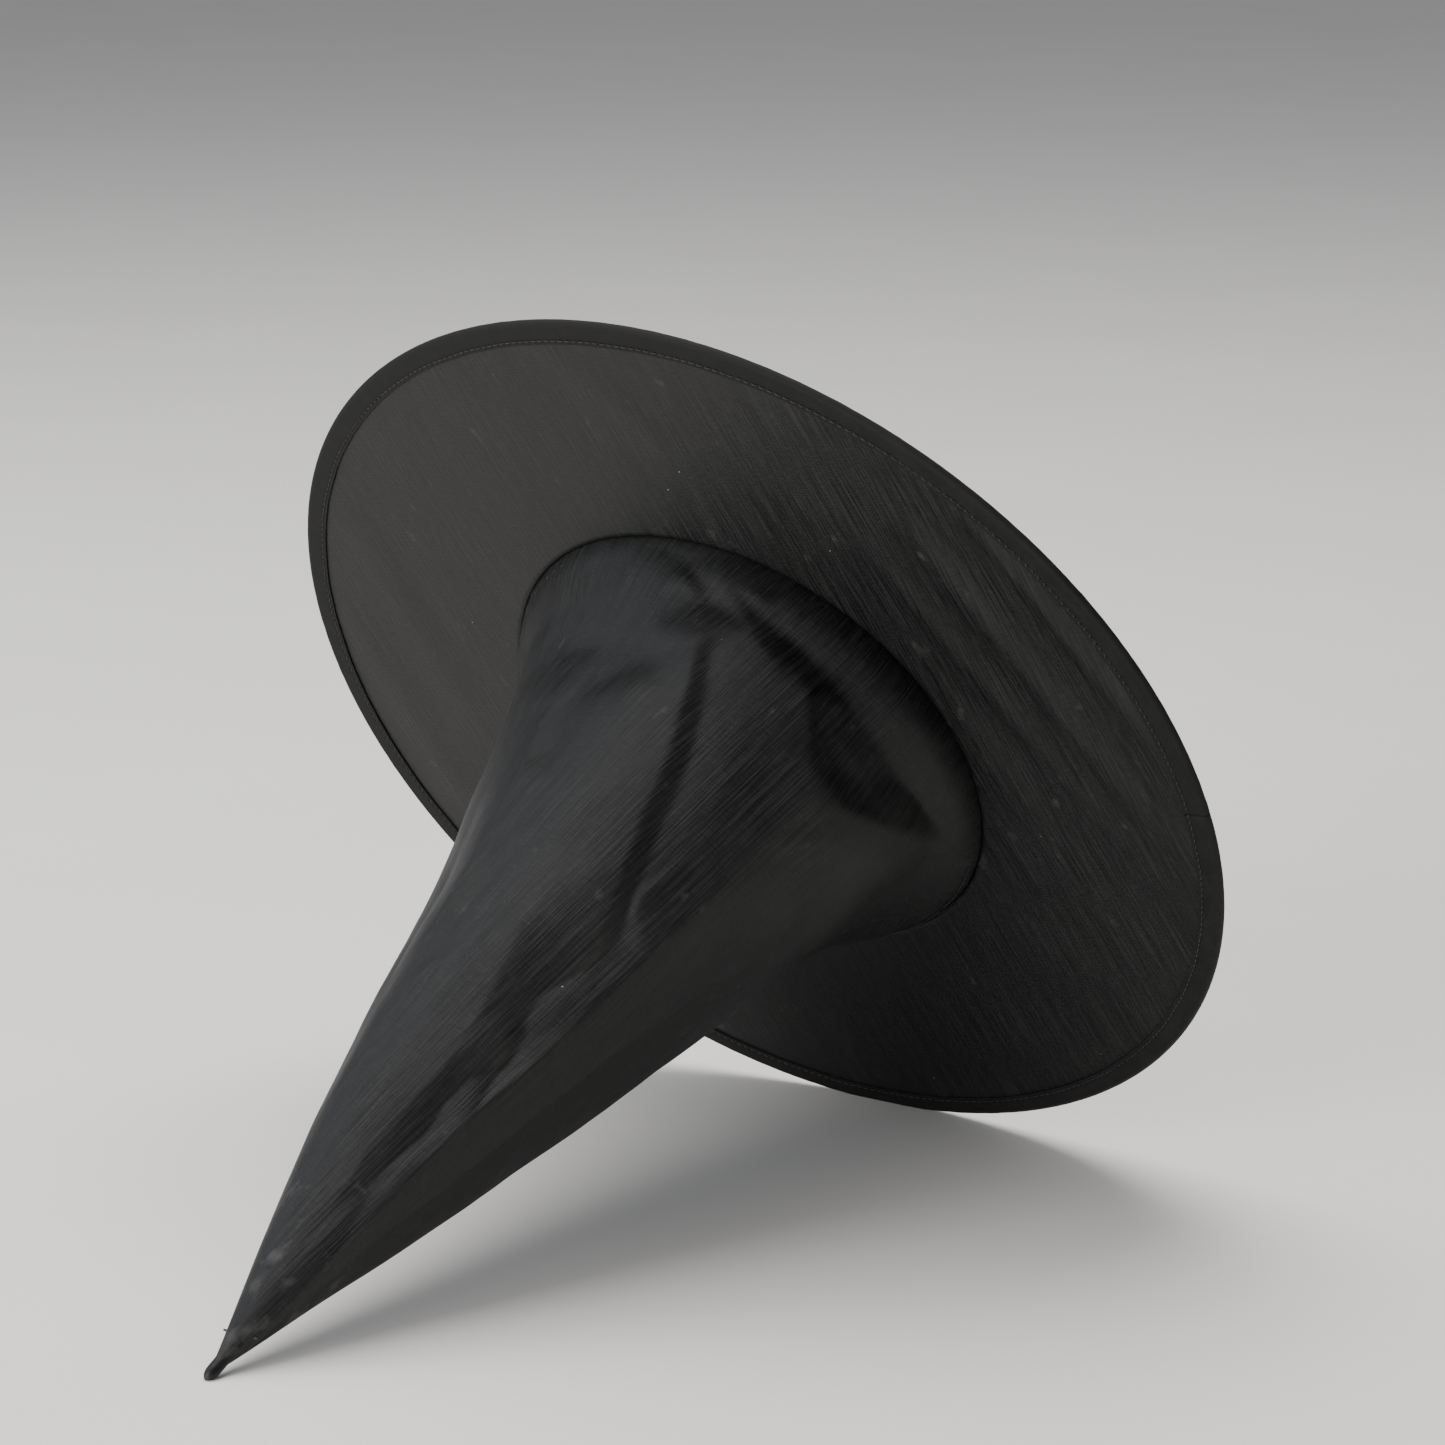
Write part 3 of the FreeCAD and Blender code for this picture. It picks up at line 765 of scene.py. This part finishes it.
def make_head_seam():
    """Stitches of the seam between cone and brim, hidden between the two turned edges."""
    radius = TURNED_RADIUS + CLOTH + 0.25 + 0.3
    count = round(2 * math.pi * radius / 3.0)
    return stitched("head_seam_stitches", ring_stitches(radius, TURNED_HEIGHT / 2, count, 0.8, 0.2), 0.2)


def make_label():
    """A blank satin label, folded double at its head, with a slight curl."""
    height, width, thick = 22.0, 24.0, 0.16
    bearing = math.radians(-110)
    out = Vector((math.cos(bearing), math.sin(bearing), 0))
    along = Vector((-out.y, out.x, 0))
    slope = (95.0 - 4.0) / 305.0
    rise = Vector((0, 0, 1)) - out * slope
    rise.normalize()
    inward = (rise.cross(along)).normalized()
    if inward.dot(out) > 0:
        inward.negate()
    foot = out * BAND_RADIUS + Vector((0, 0, BAND_HEIGHT + 0.3))
    path = [(0.0, z) for z in steps_between(0, height - 0.4, 1.2)]
    path += [(0.2 - 0.2 * math.cos(turn), height - 0.4 + 0.2 * math.sin(turn) * 1.6)
             for turn in steps_between(0.5, math.pi - 0.5, 0.5)]
    path += [(0.4, z) for z in steps_between(height - 0.4, 0.6, 1.2)]
    points, cloth, faces = [], [], []
    across_steps = steps_between(-width / 2, width / 2, 1.2)
    for side in (0, 1):
        for across in across_steps:
            for index, (depth, z) in enumerate(path):
                curl = 0.25 * (2 * across / width) ** 2 * (z / height)
                before, after = path[max(index - 1, 0)], path[min(index + 1, len(path) - 1)]
                run = math.hypot(after[0] - before[0], after[1] - before[1])
                normal = ((after[1] - before[1]) / run, -(after[0] - before[0]) / run)
                lift = thick / 2 if side else -thick / 2
                spot = foot + along * across + inward * (depth + curl + normal[0] * lift)
                spot += rise * (z + normal[1] * lift)
                points.append(hat_point(spot.x, spot.y, spot.z))
                cloth.append((across, z + 30 * side, 0))
    rows, cols = len(across_steps), len(path)
    size = rows * cols
    for i in range(rows - 1):
        for j in range(cols - 1):
            quad = (i * cols + j, (i + 1) * cols + j, (i + 1) * cols + j + 1, i * cols + j + 1)
            faces.append(quad)
            faces.append(tuple(size + k for k in reversed(quad)))
    rim = [(0, j) for j in range(cols)] + [(i, cols - 1) for i in range(1, rows)]
    rim += [(rows - 1, j) for j in range(cols - 2, -1, -1)] + [(i, 0) for i in range(rows - 2, 0, -1)]
    for (i0, j0), (i1, j1) in zip(rim, rim[1:] + rim[:1]):
        a, b = i0 * cols + j0, i1 * cols + j1
        faces.append((a, b, size + b, size + a))
    return mesh_piece("size_label_satin", points, faces, cloth)


# ---------------------------------------------------------------- materials

class Graph:
    """A material's node tree, with short calls for the nodes that these cloths need."""

    def __init__(self, name, colour, roughness):
        self.material = bpy.data.materials.new(name)
        self.material.use_nodes = True
        self.tree = self.material.node_tree
        self.shader = self.tree.nodes["Principled BSDF"]
        self.shader.inputs["Base Color"].default_value = (*colour, 1)
        self.shader.inputs["Roughness"].default_value = roughness
        self.material.diffuse_color = (*colour, 1)

    def add(self, kind, **settings):
        node = self.tree.nodes.new("ShaderNode" + kind)
        for name, value in settings.items():
            setattr(node, name, value)
        return node

    def join(self, source, target):
        self.tree.links.new(source, target)

    def flat(self):
        """The piece's own cloth coordinates, in metres."""
        return self.add("Attribute", attribute_name="cloth").outputs["Vector"]

    def turned(self, vector, degrees):
        """Coordinates turned in the plane of the cloth."""
        node = self.add("VectorRotate", rotation_type="Z_AXIS")
        node.inputs["Angle"].default_value = math.radians(degrees)
        self.join(vector, node.inputs["Vector"])
        return node.outputs["Vector"]

    def noise(self, vector, across, along, detail=2.0):
        """Noise whose grains are across by along millimetres."""
        stretch = self.add("VectorMath", operation="MULTIPLY")
        stretch.inputs[1].default_value = (1 / (across * MM), 1 / (along * MM), 1 / MM)
        self.join(vector, stretch.inputs[0])
        node = self.add("TexNoise")
        node.inputs["Scale"].default_value = 1.0
        node.inputs["Detail"].default_value = detail
        self.join(stretch.outputs[0], node.inputs["Vector"])
        return node.outputs["Fac"]

    def waves(self, vector, pitch, wobble=0.0):
        """Straight ribs across the first cloth direction, one every pitch millimetres."""
        stretch = self.add("VectorMath", operation="MULTIPLY")
        stretch.inputs[1].default_value = (1 / (pitch * MM), 1 / (pitch * MM), 0)
        self.join(vector, stretch.inputs[0])
        node = self.add("TexWave", wave_type="BANDS", bands_direction="X")
        node.inputs["Scale"].default_value = 0.31416
        node.inputs["Distortion"].default_value = wobble
        self.join(stretch.outputs[0], node.inputs["Vector"])
        return node.outputs["Fac"]

    def total(self, *parts):
        """The weighted sum of (output, weight) pairs."""
        result = None
        for output, weight in parts:
            node = self.add("Math", operation="MULTIPLY_ADD")
            node.inputs[1].default_value = weight
            node.inputs[2].default_value = 0.0
            self.join(output, node.inputs[0])
            if result is not None:
                self.join(result, node.inputs[2])
            result = node.outputs[0]
        return result

    def ramp(self, value, stops):
        """Colours by value, from (place, colour) pairs."""
        node = self.add("ValToRGB")
        elements = node.color_ramp.elements
        while len(elements) < len(stops):
            elements.new(0.5)
        for element, (place, colour) in zip(elements, stops):
            element.position = place
            element.color = (*colour, 1)
        self.join(value, node.inputs["Fac"])
        return node.outputs["Color"]

    def span(self, value, low, high, new_low, new_high):
        """A value carried from one range to another."""
        node = self.add("MapRange")
        limits = (("From Min", low), ("From Max", high), ("To Min", new_low), ("To Max", new_high))
        for name, number in limits:
            node.inputs[name].default_value = number
        self.join(value, node.inputs["Value"])
        return node.outputs["Result"]

    def mixed(self, factor, first, second):
        """One colour over another by a factor; the second may be a fixed colour."""
        node = self.add("Mix", data_type="RGBA")
        self.join(factor, node.inputs["Factor"])
        self.join(first, node.inputs[6])
        if isinstance(second, tuple):
            node.inputs[7].default_value = (*second, 1)
        else:
            self.join(second, node.inputs[7])
        return node.outputs[2]

    def colour(self, output):
        self.join(output, self.shader.inputs["Base Color"])

    def rough(self, output):
        self.join(output, self.shader.inputs["Roughness"])

    def relief(self, height, depth, strength=1.0):
        """Bump from a height of 0 to 1 that stands for a depth in millimetres."""
        node = self.add("Bump")
        node.inputs["Strength"].default_value = strength
        node.inputs["Distance"].default_value = depth * MM
        self.join(height, node.inputs["Height"])
        self.join(node.outputs["Normal"], self.shader.inputs["Normal"])


def grey(value, tint=(1.0, 1.0, 1.0)):
    """A grey of a given lightness with a slight tint."""
    return tuple(value * part for part in tint)


def taffeta():
    """Black slubbed taffeta: fine crossing threads, long irregular slubs, a satin sheen, a little lint."""
    g = Graph("taffeta", grey(0.022), 0.48)
    flat = g.flat()
    slub = g.noise(flat, 0.6, 40, 0)
    fine = g.noise(flat, 0.42, 9, 0)
    cross = g.noise(flat, 5, 0.45, 0)
    streak = g.noise(flat, 3.5, 120, 3)
    cloud = g.noise(flat, 40, 60, 3)
    tone = g.total((slub, 0.36), (fine, 0.24), (cross, 0.18), (streak, 0.12), (cloud, 0.10))
    colour = g.ramp(tone, [
        (0.37, grey(0.0018, (0.96, 1.0, 1.04))),
        (0.5, grey(0.006, (0.98, 1.0, 1.01))),
        (0.63, grey(0.014, (1.0, 1.0, 0.98))),
    ])
    scuff = g.add("Attribute", attribute_name="wear").outputs["Fac"]
    patch = g.total((g.noise(flat, 9, 14, 5), 1.0), (scuff, 0.22))
    scuffed = g.span(patch, 0.66, 0.86, 0.0, 0.45)
    colour = g.mixed(scuffed, colour, grey(0.09))
    cells = g.add("TexVoronoi", feature="F1")
    cells.inputs["Scale"].default_value = 1 / (11 * MM)
    g.join(flat, cells.inputs["Vector"])
    picked = g.add("SeparateColor")
    g.join(cells.outputs["Color"], picked.inputs[0])
    rare = g.span(picked.outputs[0], 0.80, 0.81, 0.0, 1.0)
    near = g.span(cells.outputs["Distance"], 0.018, 0.03, 1.0, 0.0)
    speck = g.add("Math", operation="MULTIPLY")
    g.join(rare, speck.inputs[0])
    g.join(near, speck.inputs[1])
    g.colour(g.mixed(speck.outputs[0], colour, grey(0.22)))
    g.rough(g.span(g.total((slub, 0.6), (fine, 0.4)), 0.35, 0.65, 0.44, 0.58))
    g.relief(g.total((slub, 0.4), (fine, 0.35), (cross, 0.25)), 0.2, 1.0)
    g.shader.inputs["Specular IOR Level"].default_value = 0.25
    return g.material


def bias_tape():
    """Dull black cotton tape cut on the bias, so its threads run slantwise both ways."""
    g = Graph("bias_tape", grey(0.009), 0.75)
    flat = g.flat()
    one = g.noise(g.turned(flat, 45), 0.4, 5, 2)
    other = g.noise(g.turned(flat, -45), 0.4, 5, 2)
    cloud = g.noise(flat, 14, 6, 3)
    tone = g.total((one, 0.35), (other, 0.35), (cloud, 0.3))
    g.colour(g.ramp(tone, [(0.38, grey(0.002)), (0.5, grey(0.005)), (0.64, grey(0.011))]))
    g.rough(g.span(tone, 0.35, 0.65, 0.62, 0.85))
    g.relief(g.total((one, 0.5), (other, 0.5)), 0.18, 0.7)
    g.shader.inputs["Specular IOR Level"].default_value = 0.22
    return g.material


def thread(name, value):
    """Twisted polyester thread with a slight gloss."""
    g = Graph(name, grey(value), 0.5)
    ply = g.waves(g.turned(g.flat(), 62), 0.42, 0.4)
    hair = g.noise(g.flat(), 0.3, 1.2, 3)
    tone = g.total((ply, 0.6), (hair, 0.4))
    g.colour(g.ramp(tone, [(0.2, grey(value * 0.5)), (0.6, grey(value)), (0.9, grey(value * 1.9))]))
    g.rough(g.span(tone, 0.2, 0.8, 0.6, 0.42))
    g.relief(tone, 0.08, 0.8)
    return g.material


def felt():
    """Black non-woven board: short fibres lying every way, slightly compressed into dimples."""
    g = Graph("stiffener_board", grey(0.03), 0.9)
    flat = g.flat()
    fibres = [g.noise(g.turned(flat, turn), 0.35, 4.5, 2) for turn in (8, 52, 97, 141)]
    cloud = g.noise(flat, 7, 7, 4)
    tone = g.total(*[(fibre, 0.2) for fibre in fibres], (cloud, 0.2))
    g.colour(g.ramp(tone, [(0.4, grey(0.012)), (0.5, grey(0.026)), (0.6, grey(0.06))]))
    g.rough(g.span(tone, 0.4, 0.6, 0.95, 0.8))
    g.relief(tone, 0.5, 0.9)
    g.shader.inputs["Sheen Weight"].default_value = 0.2
    g.shader.inputs["Sheen Roughness"].default_value = 0.6
    return g.material


def twill():
    """Black twill tape: steep ribs and a fine crossing thread."""
    g = Graph("twill_tape", grey(0.02), 0.6)
    flat = g.flat()
    rib = g.waves(g.turned(flat, 28), 1.1, 0.6)
    fine = g.noise(g.turned(flat, 28), 0.3, 3, 2)
    cloud = g.noise(flat, 20, 9, 3)
    tone = g.total((rib, 0.5), (fine, 0.25), (cloud, 0.25))
    g.colour(g.ramp(tone, [(0.2, grey(0.008)), (0.5, grey(0.02)), (0.8, grey(0.04))]))
    g.rough(g.span(tone, 0.2, 0.8, 0.72, 0.5))
    g.relief(g.total((rib, 0.7), (fine, 0.3)), 0.28, 0.9)
    return g.material


def satin():
    """Off-white label satin with fine ribs across it."""
    g = Graph("label_satin", (0.72, 0.71, 0.68), 0.42)
    flat = g.flat()
    rib = g.waves(g.turned(flat, 90), 0.35, 0.3)
    fine = g.noise(flat, 0.3, 2.5, 2)
    cloud = g.noise(flat, 6, 8, 3)
    tone = g.total((rib, 0.4), (fine, 0.3), (cloud, 0.3))
    g.colour(g.ramp(tone, [
        (0.2, (0.60, 0.585, 0.55)),
        (0.5, (0.72, 0.71, 0.68)),
        (0.8, (0.80, 0.79, 0.765)),
    ]))
    g.rough(g.span(tone, 0.2, 0.8, 0.5, 0.36))
    g.relief(tone, 0.06, 0.7)
    return g.material


def drawn_steel(name, value, roughness):
    """Bright drawn metal with fine lengthwise marks and a few dull patches."""
    g = Graph(name, grey(value, (1.0, 0.98, 0.95)), roughness)
    place = g.add("TexCoord").outputs["Object"]
    fine = g.noise(place, 0.4, 0.4, 3)
    dull = g.noise(place, 6, 6, 3)
    tone = g.total((fine, 0.4), (dull, 0.6))
    g.colour(g.ramp(tone, [(0.35, grey(value * 0.7)), (0.5, grey(value)), (0.65, grey(value * 1.15))]))
    g.rough(g.span(tone, 0.35, 0.65, roughness * 1.4, roughness * 0.8))
    g.relief(fine, 0.03, 0.5)
    g.shader.inputs["Metallic"].default_value = 1.0
    return g.material


def floor_paint():
    """A pale matt tabletop with the faintest mottling."""
    g = Graph("floor", (0.83, 0.81, 0.78), 0.55)
    place = g.add("TexCoord").outputs["Object"]
    cloud = g.noise(place, 130, 130, 4)
    g.colour(g.ramp(cloud, [(0.3, (0.82, 0.80, 0.77)), (0.7, (0.84, 0.82, 0.79))]))
    g.shader.inputs["Specular IOR Level"].default_value = 0.25
    return g.material


def wear_material(material, slot, *pieces):
    """Put a material on pieces. The slot argument is not used."""
    for piece in pieces:
        piece.data.materials.clear()
        piece.data.materials.append(material)


# ---------------------------------------------------------------- putting the hat together

upper, board, under = make_brim()
tape, needle, bobbin = make_rim()
crown, crown_board = make_crown()
seam = make_crown_seam()
tack = make_tack()
band, band_stitches = make_band()
head_stitches = make_head_seam()
label = make_label()

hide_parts("brim_upper_cloth")
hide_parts("brim_stiffener")
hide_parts("brim_under_cloth")
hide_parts("rim_binding")
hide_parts("binding_needle_thread")
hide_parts("binding_bobbin_thread")
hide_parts("crown_cloth")
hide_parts("crown_stiffener")
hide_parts("crown_seam_thread")
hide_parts("tip_tack")
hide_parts("sweatband")
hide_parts("sweatband_thread")
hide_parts("head_seam_thread")
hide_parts("size_label")

wear_material(taffeta(), "taffeta", upper, under, crown)
wear_material(felt(), "stiffener_board", board, crown_board)
wear_material(bias_tape(), "bias_tape", tape)
wear_material(twill(), "twill_tape", band)
wear_material(satin(), "label_satin", label)
wear_material(thread("thread", 0.012), "thread", needle, bobbin, seam, tack, band_stitches, head_stitches)
for node, slot, value, roughness in (
    ("rim_hoop", "spring_wire", 0.52, 0.28),
    ("hoop_sleeve", "crimp_tube", 0.62, 0.38),
):
    metal = frame["nodes"][node]
    metal.data.materials.clear()
    metal.data.materials.append(drawn_steel(slot, value, roughness))


# ---------------------------------------------------------------- floor and light

def make_floor():
    """One large pale sheet under the hat."""
    reach = 15.0
    mesh = bpy.data.meshes.new("floor")
    count = 10
    points = [(-reach + 2 * reach * i / count, -reach + 2 * reach * j / count, 0)
              for i in range(count + 1) for j in range(count + 1)]
    faces = []
    for i in range(count):
        for j in range(count):
            corner = i * (count + 1) + j
            faces.append((corner, corner + count + 1, corner + count + 2, corner + 1))
    mesh.from_pydata(points, [], faces)
    floor = bpy.data.objects.new("floor", mesh)
    floor.data.materials.append(floor_paint())
    bpy.context.scene.collection.objects.link(floor)


def make_light(name, place, aim, size, power, colour):
    """A square soft light."""
    lamp = bpy.data.lights.new(name, "AREA")
    lamp.size = size
    lamp.energy = power
    lamp.color = colour
    holder = bpy.data.objects.new(name, lamp)
    holder.location = place
    holder.rotation_euler = (Vector(aim) - Vector(place)).to_track_quat("-Z", "Y").to_euler()
    bpy.context.scene.collection.objects.link(holder)


def make_world():
    """An even pale surround."""
    world = bpy.data.worlds.new("studio")
    world.use_nodes = True
    background = world.node_tree.nodes["Background"]
    background.inputs["Color"].default_value = (0.80, 0.81, 0.86, 1)
    background.inputs["Strength"].default_value = 0.33
    bpy.context.scene.world = world


LIGHTS = [
    ("overhead", (-0.4, 0.1, 2.5), (0, 0, 0.1), 2.2, 78, (1.0, 0.99, 0.98)),
    ("behind", (-0.5, 0.9, 2.6), (0, 0, 0.1), 2.0, 8, (1.0, 0.99, 0.98)),
    ("window", (-1.8, -1.6, 2.2), (0, 0, 0.15), 1.6, 6, (0.92, 0.96, 1.0)),
    ("side_window", (-2.3, -0.5, 1.3), (0, 0, 0.15), 1.3, 12, (0.82, 0.91, 1.0)),
    ("fill", (-0.5, -3.1, 0.9), (0, 0, 0.15), 2.0, 135, (1.0, 0.99, 0.97)),
]
make_floor()
make_world()
for light in LIGHTS:
    make_light(*light)
